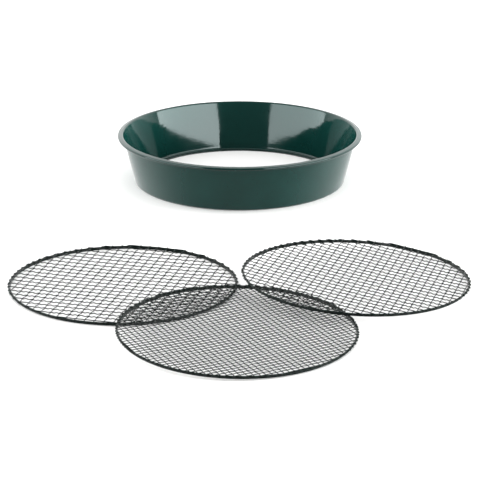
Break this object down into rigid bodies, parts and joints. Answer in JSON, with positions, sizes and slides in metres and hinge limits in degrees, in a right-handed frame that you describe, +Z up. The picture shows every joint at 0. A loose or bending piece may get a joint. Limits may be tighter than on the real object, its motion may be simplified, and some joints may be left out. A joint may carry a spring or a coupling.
{
  "type": "soil sieve",
  "caption": "Round green enamelled sieve pan with an open, ledged base, and loose wire mesh screens of graded openings laid out in front of it.",
  "frame": {"origin": "under the middle of the whole laid-out set, on the surface that it lies on", "axes": "+Z up out of the surface, +Y from the fanned screens towards the pan behind them, +X to the right seen from the screens' side"},
  "size_m": [0.6114, 0.9902, 0.073],
  "materials": {
    "green_enamel": "gloss dark green enamel",
    "screen_enamel": "near-black green coating on wire",
    "rim_wire_steel": "plain drawn wire"
  },
  "bodies": {
    "pan": {"sieve_pan": "green_enamel", "rim_wire": "rim_wire_steel"},
    "coarse_screen": {"coarse_hoop": "screen_enamel", "coarse_band": "screen_enamel", "coarse_mesh": "screen_enamel"},
    "fine_screen": {"fine_hoop": "screen_enamel", "fine_band": "screen_enamel", "fine_mesh": "screen_enamel"},
    "medium_screen": {"medium_hoop": "screen_enamel", "medium_band": "screen_enamel", "medium_mesh": "screen_enamel"}
  },
  "joints": [
    {"name": "coarse_lift", "type": "slide", "parent": "pan", "child": "coarse_screen", "axis": [0, 0, 1], "range_m": [0, 0.12]},
    {"name": "fine_lift", "type": "slide", "parent": "coarse_screen", "child": "fine_screen", "axis": [0, 0, 1], "range_m": [0, 0.12]},
    {"name": "medium_lift", "type": "slide", "parent": "fine_screen", "child": "medium_screen", "axis": [0, 0, 1], "range_m": [0, 0.12]}
  ]
}
